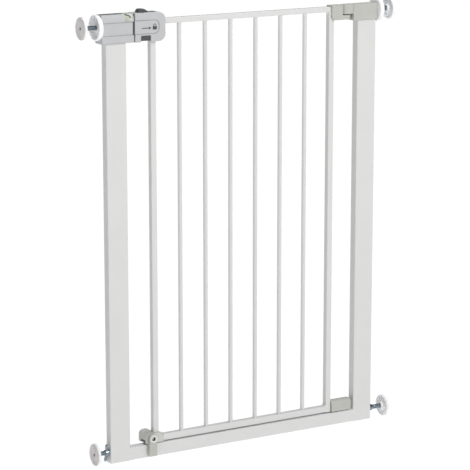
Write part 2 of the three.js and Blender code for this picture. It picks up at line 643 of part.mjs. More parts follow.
function footCatch() {
  const hood = alongY(
    roundedOutline([FOOT.left, FOOT.step], [FOOT.bottom, FOOT.top], [1, 1, 3, CHEEK.corner]),
    [FOOT.front, FOOT.back],
  );
  const sleeve = alongX(
    roundedOutline([FOOT.front, FOOT.back], [FOOT.bottom, FOOT.low], [1, 1, 1, 1]),
    [FOOT.step - 4, FOOT.right],
  );
  const cheek = alongY(
    roundedOutline([FOOT.left, CHEEK.right], [CHEEK.bottom, CHEEK.top], [0, 0, 4, CHEEK.corner]),
    [FOOT.back - 1, CHEEK.back],
  );
  return cut(
    join(hood, sleeve, cheek),
    stileSpace(DOOR_LEFT, [DOOR_BOTTOM - GAP, FOOT.top + 5]),
    railSpace([110, FOOT.right + 1], [DOOR_BOTTOM - GAP, BOTTOM_RAIL_TOP + GAP]),
    box([FOOT.left - 1, 97], [3, FOOT.back], [CHEEK.bottom - 1, 35.5]),
    rodY(BOSS.bore, [FOOT.front - 1, PIVOT_PIN.end + 0.5], LEVER.x, LEVER.z),
  );
}

function stopLever() {
  const leg = alongY(
    roundedOutline([LEVER.left, LEVER.right], [LEVER.bottom, LEVER.z], [2, 2, 0, 0]),
    [LEVER.front, LEVER.back],
  );
  return cut(
    join(leg, rodY(BOSS.radius, [BOSS.front, LEVER.back], LEVER.x, LEVER.z, FINE)),
    rodY(BOSS.bore, [BOSS.front - 1, LEVER.back + 1], LEVER.x, LEVER.z),
    rodY(BOSS.recess, [BOSS.front - 1, BOSS.front + BOSS.recessDepth], LEVER.x, LEVER.z, ROUND),
  );
}

function pivotPin() {
  const { head, headThick, front, end, shank } = PIVOT_PIN;
  return join(
    rodY(shank, [front, end], LEVER.x, LEVER.z),
    rodY(head, [front, front + headThick], LEVER.x, LEVER.z, ROUND),
  );
}

place("foot_catch_body", footCatch(), hingePlastic);
place("stop_lever", stopLever(), hingePlastic);
place("lever_pivot_pin", pivotPin(), whitePlastic);

// The origin is the centre of the lower left pad's wall face.
gate.position.set(-PAD_FACES.lowLeft, -MID_Y, -LOW_SPINDLE_Z);
const part = new THREE.Group();
part.add(gate);

export default part;
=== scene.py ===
"""The looks of the pressure-fit stair gate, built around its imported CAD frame."""
import json
import math

import bmesh
import bpy
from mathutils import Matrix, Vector


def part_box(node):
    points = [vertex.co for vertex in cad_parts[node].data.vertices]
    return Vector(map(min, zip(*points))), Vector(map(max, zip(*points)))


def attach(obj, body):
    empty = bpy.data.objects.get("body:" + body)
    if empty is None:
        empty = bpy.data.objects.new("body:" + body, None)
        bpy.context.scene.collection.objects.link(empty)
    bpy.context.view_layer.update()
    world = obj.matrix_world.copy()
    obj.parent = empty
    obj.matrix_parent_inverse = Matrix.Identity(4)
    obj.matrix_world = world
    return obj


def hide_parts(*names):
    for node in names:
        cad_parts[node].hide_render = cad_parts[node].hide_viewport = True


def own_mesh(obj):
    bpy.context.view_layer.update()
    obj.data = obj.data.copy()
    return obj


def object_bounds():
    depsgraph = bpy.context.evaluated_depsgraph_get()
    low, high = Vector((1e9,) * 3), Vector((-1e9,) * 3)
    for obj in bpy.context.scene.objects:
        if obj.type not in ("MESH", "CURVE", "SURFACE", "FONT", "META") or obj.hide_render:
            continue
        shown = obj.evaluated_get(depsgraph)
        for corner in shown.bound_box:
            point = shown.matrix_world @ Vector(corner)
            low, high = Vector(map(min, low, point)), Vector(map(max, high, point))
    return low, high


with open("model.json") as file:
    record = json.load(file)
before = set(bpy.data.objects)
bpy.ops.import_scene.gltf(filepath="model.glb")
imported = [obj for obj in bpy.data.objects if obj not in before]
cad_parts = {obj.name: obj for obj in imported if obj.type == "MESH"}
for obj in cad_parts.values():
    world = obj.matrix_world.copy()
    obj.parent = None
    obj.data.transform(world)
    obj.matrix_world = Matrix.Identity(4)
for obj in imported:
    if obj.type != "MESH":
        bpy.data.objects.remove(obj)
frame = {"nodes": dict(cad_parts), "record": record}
CAD_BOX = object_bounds()

MM = 0.001
PAST = 1 * MM  # how far a cutter runs on past the shape that it cuts
RECORD = frame["record"]
BODY_OF = {n: body for body, nodes in RECORD["behaviour"]["bodies"].items() for n in nodes}
SLOT_OF = {row["node"]: row["material_slot"] for row in RECORD["subparts"]}
CORNERS = ("top_left", "bottom_left", "top_right", "bottom_right")
AXES = {"X": (1, 2, 0), "Y": (0, 2, 1), "Z": (0, 1, 2)}  # (u, v, along) for each axis


# ---------- materials ----------
NOISE_SPAN = (0.3, 0.7)  # most of a noise texture's values lie between these


class Shader:
    """A principled material that grows its own texture nodes, in the object's own metres."""

    def __init__(self, name, color, roughness, metallic=0.0):
        self.material = bpy.data.materials.new(name)
        self.material.use_nodes = True
        self.material.diffuse_color = (*color, 1)
        self.tree = self.material.node_tree
        self.principled = self.tree.nodes["Principled BSDF"]
        self.set("Base Color", (*color, 1))
        self.set("Roughness", roughness)
        self.set("Metallic", metallic)
        self.color = color
        self.roughness = roughness
        self.coordinates = self.tree.nodes.new("ShaderNodeTexCoord")

    def set(self, socket, value):
        """Gives a socket of the principled shader its value."""
        self.principled.inputs[socket].default_value = value
        return self

    def node(self, kind, **inputs):
        """A new node of a kind, with the values of its inputs."""
        made = self.tree.nodes.new(kind)
        for socket, value in inputs.items():
            made.inputs[socket.replace("_", " ")].default_value = value
        return made

    def link(self, start, end):
        self.tree.links.new(start, end)

    def noise(self, size, detail):
        """Noise whose features are about size metres across."""
        made = self.node("ShaderNodeTexNoise", Scale=1 / size, Detail=detail, Roughness=0.55)
        self.link(self.coordinates.outputs["Object"], made.inputs["Vector"])
        return made.outputs["Fac"]

    def tint(self, factor, low, high):
        """The base colour runs from low to high times itself, as factor crosses the noise span."""
        ramp = self.tree.nodes.new("ShaderNodeValToRGB")
        stops = ramp.color_ramp.elements
        for stop, place, share in zip(stops, NOISE_SPAN, (low, high)):
            stop.position = place
            stop.color = (*(min(1, c * share) for c in self.color), 1)
        self.link(factor, ramp.inputs["Fac"])
        self.link(ramp.outputs["Color"], self.principled.inputs["Base Color"])
        return self

    def polish(self, factor, spread):
        """The roughness varies by spread either way."""
        span = self.node("ShaderNodeMapRange")
        span.inputs["From Min"].default_value = NOISE_SPAN[0]
        span.inputs["From Max"].default_value = NOISE_SPAN[1]
        span.inputs["To Min"].default_value = max(0.02, self.roughness - spread)
        span.inputs["To Max"].default_value = self.roughness + spread
        self.link(factor, span.inputs["Value"])
        self.link(span.outputs["Result"], self.principled.inputs["Roughness"])
        return self

    def bump(self, *layers):
        """Layers of (height factor, depth in metres, strength), one on top of another."""
        normal = None
        for height, depth, strength in layers:
            made = self.node("ShaderNodeBump", Strength=strength, Distance=depth)
            self.link(height, made.inputs["Height"])
            if normal:
                self.link(normal, made.inputs["Normal"])
            normal = made.outputs["Normal"]
        self.link(normal, self.principled.inputs["Normal"])
        return self


def powder_coat():
    """White powder coat: a faint orange peel over a finer grain."""
    made = Shader("powder_coat", (0.675, 0.675, 0.67), 0.38)
    made.set("Coat Weight", 0.25).set("Coat Roughness", 0.22)
    peel = made.noise(1.3 * MM, 2)
    made.tint(made.noise(60 * MM, 3), 0.985, 1.01).polish(made.noise(25 * MM, 3), 0.05)
    made.bump((peel, 0.05 * MM, 0.35), (made.noise(0.35 * MM, 1), 0.01 * MM, 0.25))
    return made.material


def moulded(name, color, roughness, grain=0.25):
    """Moulded plastic with a spark-eroded grain, as strong as grain says, and faint flow marks."""
    made = Shader(name, color, roughness)
    made.tint(made.noise(18 * MM, 3), 0.97, 1.02).polish(made.noise(9 * MM, 3), 0.05)
    flow = made.noise(14 * MM, 1)
    made.bump((made.noise(0.25 * MM, 2), 0.03 * MM, grain), (flow, 0.08 * MM, 0.12))
    return made


def silver_plastic():
    """Grey moulded plastic with a faint metallic sheen."""
    made = moulded("silver_plastic", (0.51, 0.515, 0.525), 0.56, grain=0.3)
    made.set("Metallic", 0.06).set("Specular IOR Level", 0.4)
    return made.material


def white_plastic():
    """White plastic that lets a little light through its thin walls."""
    made = moulded("white_plastic", (0.91, 0.915, 0.925), 0.30, grain=0.12)
    made.set("Subsurface Weight", 0.35).set("Subsurface Scale", 6 * MM)
    made.set("Subsurface Radius", (1.0, 0.95, 0.9))
    return made.material


def rubber():
    """Matt pale grey rubber."""
    made = Shader("grey_rubber", (0.82, 0.795, 0.79), 0.82)
    made.tint(made.noise(5 * MM, 4), 0.94, 1.03).polish(made.noise(3 * MM, 2), 0.06)
    made.bump((made.noise(0.5 * MM, 3), 0.06 * MM, 0.5))
    return made.material


def zinc():
    """Zinc plating with the cloudy blue tint of its passivation."""
    made = Shader("zinc_steel", (0.26, 0.30, 0.335), 0.20, metallic=1.0)
    made.tint(made.noise(4 * MM, 4), 0.6, 1.4).polish(made.noise(1.5 * MM, 4), 0.08)
    made.bump((made.noise(0.2 * MM, 2), 0.02 * MM, 0.3))
    return made.material


def across(made, node, colors):
    """The base colour runs through colours, each with its place from 0 to 1 along the node's X."""
    low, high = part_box(node)
    split = made.node("ShaderNodeSeparateXYZ")
    made.link(made.coordinates.outputs["Object"], split.inputs["Vector"])
    span = made.node("ShaderNodeMapRange")
    span.inputs["From Min"].default_value = low.x
    span.inputs["From Max"].default_value = high.x
    made.link(split.outputs["X"], span.inputs["Value"])
    ramp = made.tree.nodes.new("ShaderNodeValToRGB")
    stops = ramp.color_ramp.elements
    ramp.color_ramp.interpolation = "EASE"
    while len(stops) < len(colors):
        stops.new(0.5)
    for stop, (place, color) in zip(stops, colors):
        stop.position = place
        stop.color = (*color, 1)
    made.link(span.outputs["Result"], ramp.inputs["Fac"])
    made.link(ramp.outputs["Color"], made.principled.inputs["Base Color"])


PALE_GREEN = (0.55, 0.63, 0.44)
MIST = (0.62, 0.67, 0.57)  # halfway between the two
OFF_WHITE = (0.74, 0.77, 0.73)


def lens():
    """A milky window, green at its left end where the slide's field shows through."""
    made = Shader("lens_plastic", OFF_WHITE, 0.34)
    made.set("Transmission Weight", 0.25).set("IOR", 1.49)
    across(made, "indicator_lens", ((0.1, PALE_GREEN), (0.5, MIST), (0.85, OFF_WHITE)))
    made.polish(made.noise(4 * MM, 2), 0.02)
    made.bump((made.noise(6 * MM, 1), 0.02 * MM, 0.1))
    return made.material


def indicator():
    """A green field that fades to a white band at the slide's right end."""
    made = Shader("indicator_plastic", PALE_GREEN, 0.45)
    across(made, "indicator_slide", ((0.55, PALE_GREEN), (0.62, OFF_WHITE)))
    made.bump((made.noise(0.3 * MM, 2), 0.02 * MM, 0.2))
    return made.material


MATERIALS = {
    "powder_coat": powder_coat(),
    "silver_plastic": silver_plastic(),
    "hinge_plastic": moulded("hinge_plastic", (0.485, 0.487, 0.455), 0.46).material,
    "dark_plastic": moulded("dark_plastic", (0.075, 0.08, 0.085), 0.52, grain=0.5).material,
    "white_plastic": white_plastic(),
    "nylon": moulded("nylon", (0.74, 0.74, 0.71), 0.42).material,
    "grey_rubber": rubber(),
    "zinc_steel": zinc(),
    "lens_plastic": lens(),
    "indicator_plastic": indicator(),
}
CATCH = moulded("catch_plastic", (0.585, 0.58, 0.55), 0.46).material
# painted highlight: a paler copy of the lever's plastic, for the lit ring on the lever's hub
HUB_HIGHLIGHT = moulded("hub_highlight_plastic", (0.66, 0.67, 0.63), 0.4).material
INK = moulded("mark_ink", (0.06, 0.062, 0.065), 0.55).material
OLIVE = moulded("pointer_ink", (0.20, 0.225, 0.15), 0.5).material


# ---------- outlines ----------
def arc(centre, radius, start, end, steps):
    """Points on an arc, angles in degrees."""
    angles = [math.radians(start + (end - start) * i / steps) for i in range(steps + 1)]
    return [(centre[0] + radius * math.cos(a), centre[1] + radius * math.sin(a)) for a in angles]


def in_metres(points):
    """Points given in millimetres. A third value stays as it is."""
    return [(a * MM, b * MM, *rest) for a, b, *rest in points]


def rounded_rect(u, v, radius, steps=6):
    """A rectangle between two places across and two up, with round corners."""
    (u0, u1), (v0, v1) = u, v
    spots = ((u1 - radius, v0 + radius, -90), (u1 - radius, v1 - radius, 0),
             (u0 + radius, v1 - radius, 90), (u0 + radius, v0 + radius, 180))
    return [p for x, y, a in spots for p in arc((x, y), radius, a, a + 90, steps)]


def softened(points, radius, steps=4):
    """A closed outline whose corners are rounded. A radius of 0 in a third value keeps one sharp."""
    nearly_straight = math.radians(88)  # half the angle between two edges
    share = 0.48  # of an edge, at most, goes to one corner
    out = []
    count = len(points)
    for i, point in enumerate(points):
        here = Vector(point[:2])
        before = Vector(points[i - 1][:2]) - here
        after = Vector(points[(i + 1) % count][:2]) - here
        wanted = point[2] if len(point) > 2 else radius
        half = before.angle(after) / 2 if before.length > 0 and after.length > 0 else math.pi / 2
        if wanted <= 0 or half > nearly_straight:
            out.append(tuple(here))
            continue
        reach = min(wanted / math.tan(half), share * before.length, share * after.length)
        start = here + before.normalized() * reach
        end = here + after.normalized() * reach
        for k in range(steps + 1):
            t = k / steps
            out.append(tuple(start * (1 - t) ** 2 + here * 2 * t * (1 - t) + end * t**2))
    return out


# ---------- mesh tools ----------
EDGE_ANGLE = 35  # degrees; an edge that turns further than this stays sharp
FLAT_ANGLE = 0.4  # degrees; faces that turn less than this are one flat face
SAME_POINT = 1e-7  # metres; vertices of a new mesh closer than this are one
CAD_SAME_POINT = 1e-6  # the same for a CAD mesh


def shaded(mesh, edge_angle=EDGE_ANGLE):
    """Smooth shading between the mesh's sharp edges."""
    mesh.shade_smooth()
    mesh.set_sharp_from_angle(angle=math.radians(edge_angle))


def finished(name, bm, material, edge_angle=EDGE_ANGLE):
    """A linked object made of a bmesh, with its faces turned out and its sharp edges kept."""
    bmesh.ops.remove_doubles(bm, verts=bm.verts, dist=SAME_POINT)
    bmesh.ops.recalc_face_normals(bm, faces=bm.faces)
    mesh = bpy.data.meshes.new(name)
    bm.to_mesh(mesh)
    bm.free()
    shaded(mesh, edge_angle)
    made = bpy.data.objects.new(name, mesh)
    bpy.context.scene.collection.objects.link(made)
    made.data.materials.append(material)
    return made


def applied(made):
    """The object with its modifiers applied."""
    bpy.context.view_layer.update()
    graph = bpy.context.evaluated_depsgraph_get()
    mesh = bpy.data.meshes.new_from_object(made.evaluated_get(graph))
    made.modifiers.clear()
    old = made.data
    made.data = mesh
    bpy.data.meshes.remove(old)
    return made


def bevelled(made, width, segments=3, angle=32):
    """The object with its edges rounded that turn more than angle degrees; width in millimetres."""
    modifier = made.modifiers.new("round", "BEVEL")
    modifier.width = width * MM
    modifier.segments = segments
    modifier.limit_method = "ANGLE"
    modifier.angle_limit = math.radians(angle)
    modifier.use_clamp_overlap = True
    applied(made)
    shaded(made.data)
    return made


def carved(made, tool, operation="DIFFERENCE"):
    """The object after a boolean with a tool, which is used up."""
    modifier = made.modifiers.new("cut", "BOOLEAN")
    modifier.operation = operation
    modifier.solver = "EXACT"
    modifier.object = tool
    applied(made)
    shaded(made.data)
    bpy.data.objects.remove(tool)
    return made


def bridge(bm, start, end):
    """Faces between two closed rings with as many vertices as each other."""
    count = len(start)
    for i in range(count):
        k = (i + 1) % count
        bm.faces.new((start[i], start[k], end[k], end[i]))


def point_on(axis, u, v, along):
    """The place of a point given across and along an axis."""
    place = [0.0, 0.0, 0.0]
    iu, iv, ia = AXES[axis]
    place[iu], place[iv], place[ia] = u, v, along
    return place


def extruded(name, outline, axis, ends, material):
    """A closed prism: an outline in the axis's (u, v) plane, in metres, between two places."""
    bm = bmesh.new()
    rings = [[bm.verts.new(point_on(axis, u, v, a)) for u, v in outline] for a in ends]
    for ring in rings:
        bm.faces.new(ring)
    bridge(bm, *rings)
    return finished(name, bm, material)


def tube(name, axis, outer, inner, ends, material, closed_start=0.0):
    """A hollow section. closed_start is how far the plate that shuts its first end reaches in."""
    bm = bmesh.new()
    inner_ends = (ends[0] + closed_start, ends[1])
    skins = []
    for outline, places in ((outer, ends), (inner, inner_ends)):
        skin = [[bm.verts.new(point_on(axis, u, v, a)) for u, v in outline] for a in places]
        skins.append(skin)
        bridge(bm, *skin)
    (outer_start, outer_end), (inner_start, inner_end) = skins
    if closed_start:
        bm.faces.new(outer_start)
        bm.faces.new(inner_start)
    else:
        bridge(bm, outer_start, inner_start)
    bridge(bm, outer_end, inner_end)
    return finished(name, bm, material)


def lathe(name, profile, axis, centre, material, segments=64, flip=1):
    """A turned piece. The profile's (radius, distance) points, in metres, start and end on the
    axis or close on themselves; distance runs along the axis from centre, or back if flip is -1."""
    bm = bmesh.new()
    iu, iv, ia = AXES[axis]
    rings = []
    for radius, distance in profile:
        ring = []
        for k in range(segments if radius > 0 else 1):
            angle = 2 * math.pi * k / segments
            place = list(centre)
            place[iu] += radius * math.cos(angle)
            place[iv] += radius * math.sin(angle)
            place[ia] += flip * distance
            ring.append(bm.verts.new(place))
        rings.append(ring)
    on_axis = len(rings[0]) == 1
    after = rings[1:] if on_axis else rings[1:] + rings[:1]
    for a, b in zip(rings, after):
        if len(a) == len(b):
            bridge(bm, a, b)
            continue
        for k in range(segments):
            n = (k + 1) % segments
            bm.faces.new((a[0], b[k], b[n]) if len(a) == 1 else (a[k], a[n], b[0]))
    return finished(name, bm, material)


def swept(name, path, radius, material, sides=10):
    """A round wire along a path of points, closed at both ends."""
    path = [Vector(p) for p in path]
    bm = bmesh.new()
    tangent = (path[1] - path[0]).normalized()
    normal = tangent.orthogonal().normalized()
    rings = []
    for i, place in enumerate(path):
        ahead = path[min(i + 1, len(path) - 1)] - path[max(i - 1, 0)]
        turned = ahead.normalized()
        normal = (tangent.rotation_difference(turned) @ normal).normalized()
        tangent = turned
        side = tangent.cross(normal)
        rings.append([
            bm.verts.new(place + radius * (math.cos(a) * normal + math.sin(a) * side))
            for a in (2 * math.pi * k / sides for k in range(sides))
        ])
    for a, b in zip(rings, rings[1:]):
        bridge(bm, a, b)
    bm.faces.new(rings[0])
    bm.faces.new(rings[-1])
    return finished(name, bm, material)


def copied(node):
    """A new object with the CAD node's shape, its flat faces made whole again."""
    bm = bmesh.new()
    bm.from_mesh(frame["nodes"][node].data)
    bmesh.ops.remove_doubles(bm, verts=bm.verts, dist=CAD_SAME_POINT)
    bmesh.ops.dissolve_limit(bm, angle_limit=math.radians(FLAT_ANGLE), verts=bm.verts,
                             edges=bm.edges, use_dissolve_boundaries=False)
    return finished(node + "_skin", bm, MATERIALS[SLOT_OF[node]])


def even_shading(piece):
    """Large faces lead the shading, so that a flat face stays flat up to its rounded edge."""
    modifier = piece.modifiers.new("normals", "WEIGHTED_NORMAL")
    modifier.keep_sharp = True
    modifier.weight = 80
    applied(piece)


def stands_for(piece, *nodes):
    """The piece takes the place of CAD nodes, with its shading evened, and rides with the first of
    them.
    """
    even_shading(piece)
    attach(piece, BODY_OF[nodes[0]])
    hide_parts(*nodes)
    return piece


def added(piece, body):
    """A piece of its own that no CAD node stands behind."""
    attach(piece, body)


def rounded_copy(node, width, segments=3):
    """The CAD node with its edges rounded; width in millimetres."""
    stands_for(bevelled(copied(node), width, segments), node)


# ---------- steel frame and door panel ----------
COAT = MATERIALS["powder_coat"]
POST = {"corner": 2.2 * MM, "wall": 1.3 * MM, "hole": 6.8 * MM, "drilled": 6 * MM}
DOOR_TUBE = {"corner": 1.5 * MM, "wall": 1.2 * MM}
BAR = {"count": 6, "radius": 4.5 * MM, "bore": 3.5 * MM, "weld": 1.0 * MM}
GUSSET = {"reach": 6.5 * MM, "inset": 2 * MM}
TOUCH = 0.3 * MM  # the CAD leaves this gap between welded pieces, and the looks close it


def section(node, axis, corner, wall):
    """The outer and inner outlines of a rectangular tube node across an axis."""
    low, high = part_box(node)
    iu, iv, _ = AXES[axis]
    u = (low[iu], high[iu])
    v = (low[iv], high[iv])
    outer = rounded_rect(u, v, corner)
    bend = max(corner - wall, 0.3 * MM)
    inner = rounded_rect((u[0] + wall, u[1] - wall), (v[0] + wall, v[1] - wall), bend)
    return outer, inner


def steel_tube(node, axis, shape, grow=0.0, capped=None):
    """A rectangular tube along its node. A plate shuts its "low" or its "high" end, if capped."""
    low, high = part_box(node)
    along = AXES[axis][2]
    outer, inner = section(node, axis, shape["corner"], shape["wall"])
    ends = (low[along] - grow, high[along] + grow)
    plate = shape["wall"] if capped else 0.0
    if capped == "high":
        ends = ends[::-1]
        plate = -plate
    return tube(node + "_tube", axis, outer, inner, ends, COAT, plate)


def drill(axis, radius, centre, length):
    """A plain round cutter, centred on a point."""
    half = length / 2
    profile = [(0, -half), (radius, -half), (radius, half), (0, half)]
    return lathe("drill", profile, axis, centre, COAT, segments=48)


def spindle_centre(corner):
    """The middle of a corner's spindle."""
    low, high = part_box("spindle_" + corner)
    return (low + high) / 2


def make_posts():
    """Each post is shut at its foot, and has a hole in its outer side for each spindle."""
    for side, node in (("left", "left_post"), ("right", "right_post")):
        low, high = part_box(node)
        made = steel_tube(node, "Z", POST, capped="low")
        face = low.x if side == "left" else high.x
        for level in ("top_", "bottom_"):
            axis_point = spindle_centre(level + side)
            centre = (face, axis_point.y, axis_point.z)
            carved(made, drill("X", POST["hole"], centre, POST["drilled"]))
        stands_for(made, node)


def make_sill():
    """The sill runs on to where the posts' rounded edges start, so no seam shows at the weld."""
    stands_for(steel_tube("sill_rail", "X", POST, grow=TOUCH + POST["corner"]), "sill_rail")


def make_door_tubes():
    """The stiles are shut at their tops, and the rails run on to the stiles' rounded edges."""
    for node in ("latch_stile", "hinge_stile"):
        stands_for(steel_tube(node, "Z", DOOR_TUBE, capped="high"), node)
    for node in ("door_top_rail", "door_bottom_rail"):
        stands_for(steel_tube(node, "X", DOOR_TUBE, grow=TOUCH + DOOR_TUBE["corner"]), node)


def make_bars():
    """Each bar is a tube with a small collar of weld at each end."""
    radius, bore, weld = BAR["radius"], BAR["bore"], BAR["weld"]
    for i in range(BAR["count"]):
        node = f"door_bar_{i + 1}"
        low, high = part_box(node)
        centre = ((low.x + high.x) / 2, (low.y + high.y) / 2, 0.0)
        foot, head = low.z - TOUCH, high.z + TOUCH
        collar = [(radius + weld * (1 - math.sin(a)), weld * (1 - math.cos(a)))
                  for a in (math.radians(d) for d in (0, 22, 45, 67, 90))]
        profile = [(bore, foot)]
        profile += [(r, foot + z) for r, z in collar]
        profile += [(r, head - z) for r, z in reversed(collar)]
        profile += [(bore, head)]
        stands_for(lathe(node + "_tube", profile, "Z", centre, COAT, segments=32), node)


def make_gussets():
    """Small concave corners where the hinge stile meets the two rails."""
    reach = GUSSET["reach"]
    stile_low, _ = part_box("hinge_stile")
    for node, upward in (("door_bottom_rail", 1), ("door_top_rail", -1)):
        low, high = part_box(node)
        z = high.z if upward > 0 else low.z
        curve = arc((stile_low.x - reach, z + upward * reach), reach, 0, -90 * upward, 8)
        outline = [(stile_low.x + TOUCH, z - upward * TOUCH)]
        outline += [(x + TOUCH / 2, y) for x, y in curve]
        depth = (low.y + GUSSET["inset"], high.y - GUSSET["inset"])
        piece = extruded(node + "_gusset", outline, "Y", depth, COAT)
        added(piece, "door")


# ---------- spindles, nuts and pads ----------
PITCH = 1.5 * MM
THREAD_DEPTH = 0.75 * MM
THREAD_FLANK = 1.9  # how steep the vee's sides are
THREAD_LAND = 0.45  # how wide its flat crest is
ROD_CHAMFER = 1.1 * MM
RINGS_PER_TURN = 6


def thread_radius(outer, z, angle):
    """A vee thread's surface: z along the rod, angle round it."""
    phase = (z / PITCH - angle / (2 * math.pi)) % 1.0
    cut = THREAD_FLANK * abs(2 * phase - 1) - THREAD_LAND
    return outer - THREAD_DEPTH * min(1.0, max(0.0, cut))


def threaded_rod(name, low, high, material, segments=28):
    """A threaded rod along X between the two corners of its box, with chamfered ends."""
    outer = (high.z - low.z) / 2
    centre_y = (low.y + high.y) / 2
    centre_z = (low.z + high.z) / 2
    stations = int(round((high.x - low.x) / (PITCH / RINGS_PER_TURN)))
    bm = bmesh.new()
    rings = []
    for i in range(stations + 1):
        x = low.x + (high.x - low.x) * i / stations
        from_end = min(x - low.x, high.x - x)
        ring = []
        for k in range(segments):
            angle = 2 * math.pi * k / segments
            radius = min(thread_radius(outer, x - low.x, angle), outer - ROD_CHAMFER + from_end)
            ring.append(bm.verts.new((x, centre_y + radius * math.cos(angle),
                                      centre_z + radius * math.sin(angle))))
        rings.append(ring)
    for a, b in zip(rings, rings[1:]):
        bridge(bm, a, b)
    bm.faces.new(rings[0])
    bm.faces.new(rings[-1])
    return finished(name, bm, material, edge_angle=50)


def outward(corner):
    """Which way along X the wall lies from a corner's post."""
    return -1 if corner.endswith("left") else 1


def pad_profile():
    """The pad body's section, from its wall side at 0 to its hub: (radius, distance)."""
    points = [
        (0, 2.3, 0), (20.8, 2.3), (20.8, 0.5), (22.6, 0.5), (23, 1.2), (23, 4.8), (22.2, 5.8),
        (20.4, 6.0), (19.4, 5.5), (18.6, 4.4), (16.8, 4.3), (16.0, 5.2), (14.6, 5.2), (13.8, 4.3),
        (12.0, 4.3), (11.2, 5.4), (8.8, 6.0), (8.2, 9.4), (7.6, 10.0), (5.05, 10.0),
        (5.05, 3.4), (0, 3.4, 0),
    ]
    return in_metres(softened(points, 0.5, 3))


def facing_profile():
    """The rubber facing: shallow rings on its wall side, round a small centre hole."""
    points = [(0, 1.4, 0), (3.1, 1.4), (3.3, 0.05)]
    for ring in (6.5, 10.5, 14.5, 18.0):
        points += [(ring - 0.8, 0.0), (ring - 0.3, 0.6), (ring + 0.3, 0.6), (ring + 0.8, 0.0)]
    points += [(19.9, 0.0), (20.5, 0.5), (20.5, 2.0), (0, 2.0, 0)]
    return in_metres(softened(points, 0.25, 2))


# a dark disc sitting in the centre hole of the pad's facing
CENTRE_DOT = in_metres([(0, 0.1), (2.3, 0.15), (2.9, 0.4), (2.9, 1.5), (0, 1.5)])


def make_pads():
    """Four wall pads: the body, its rubber facing with a dark disc at its centre, and the threaded
    spindle.
    """
    for corner in CORNERS:
        side = outward(corner)
        low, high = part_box("pad_facing_" + corner)
        wall = high.x if side > 0 else low.x
        middle = spindle_centre(corner)
        centre = (wall, middle.y, middle.z)
        body = lathe("pad_body_" + corner, pad_profile(), "X", centre,
                     MATERIALS["white_plastic"], 72, flip=-side)
        stands_for(body, "wall_pad_" + corner)
        face = lathe("pad_rubber_" + corner, facing_profile(), "X", centre,
                     MATERIALS["grey_rubber"], 72, flip=-side)
        stands_for(face, "pad_facing_" + corner)
        centre_dot = lathe("pad_dark_dot_" + corner, CENTRE_DOT, "X", centre, INK, 24, flip=-side)
        added(centre_dot, BODY_OF["pad_facing_" + corner])
        low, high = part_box("spindle_" + corner)
        rod = threaded_rod("threaded_rod_" + corner, low, high, MATERIALS["zinc_steel"])
        stands_for(rod, "spindle_" + corner)


def make_wheels():
    """Hand wheels: a deep dish with a rounded rim and a short hub round the spindle."""
    points = [
        (4.95, 0), (22.0, 0), (24.3, 0.6), (25.4, 2.6), (25.5, 5.0), (25.4, 7.6), (24.6, 9.4),
        (23.2, 10), (21.9, 9.6), (21.2, 8.4), (20.9, 5.5), (20.2, 3.3), (19.0, 3.0), (9.4, 3.0),
        (8.9, 3.4), (8.6, 5.2), (8.0, 5.5), (5.4, 5.5), (4.95, 5.1),
    ]
    profile = in_metres(softened(points, 0.5, 3))
    for corner in ("top_left", "top_right"):
        node = "hand_wheel_" + corner
        side = outward(corner)
        low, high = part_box(node)
        middle = spindle_centre(corner)
        centre = (low.x if side > 0 else high.x, middle.y, middle.z)
        made = lathe("wheel_" + corner, profile, "X", centre, MATERIALS["white_plastic"], 96, side)
        stands_for(made, node)


# ---------- screws, pins and small turned pieces ----------
RECESS = {"long": 3.4 * MM, "wide": 0.8 * MM, "corner": 0.2 * MM, "deep": 1.1 * MM}
SCREWS = ("housing_screw_1", "housing_screw_2", "handle_screw_1", "handle_screw_2")


def screw_profile(length):
    """A pan-head screw's section, from its tip to its head: (radius, distance)."""
    points = in_metres([(0, 0.4, 0), (0.8, 0.4), (1.5, 1.6)])
    head = in_metres([(1.5, -1.9), (2.9, -1.8), (3, -1.2), (2.4, -0.2), (1.4, 0, 0), (0, 0, 0)])
    points += [(r, length + d, *rest) for r, d, *rest in head]
    return softened(points, 0.2 * MM, 3)


def make_screws():
    """Screws seen from behind, each with a cross recess."""
    for node in SCREWS:
        low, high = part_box(node)
        centre = ((low.x + high.x) / 2, low.y, (low.z + high.z) / 2)
        screw = lathe(node + "_turned", screw_profile(high.y - low.y), "Y", centre,
                      MATERIALS["zinc_steel"], 40)
        for wide, tall in ((RECESS["long"], RECESS["wide"]), (RECESS["wide"], RECESS["long"])):
            u = (centre[0] - wide / 2, centre[0] + wide / 2)
            v = (centre[2] - tall / 2, centre[2] + tall / 2)
            blade = extruded("blade", rounded_rect(u, v, RECESS["corner"], 3), "Y",
                             (high.y - RECESS["deep"], high.y + PAST), COAT)
            carved(screw, blade)
        stands_for(screw, node)


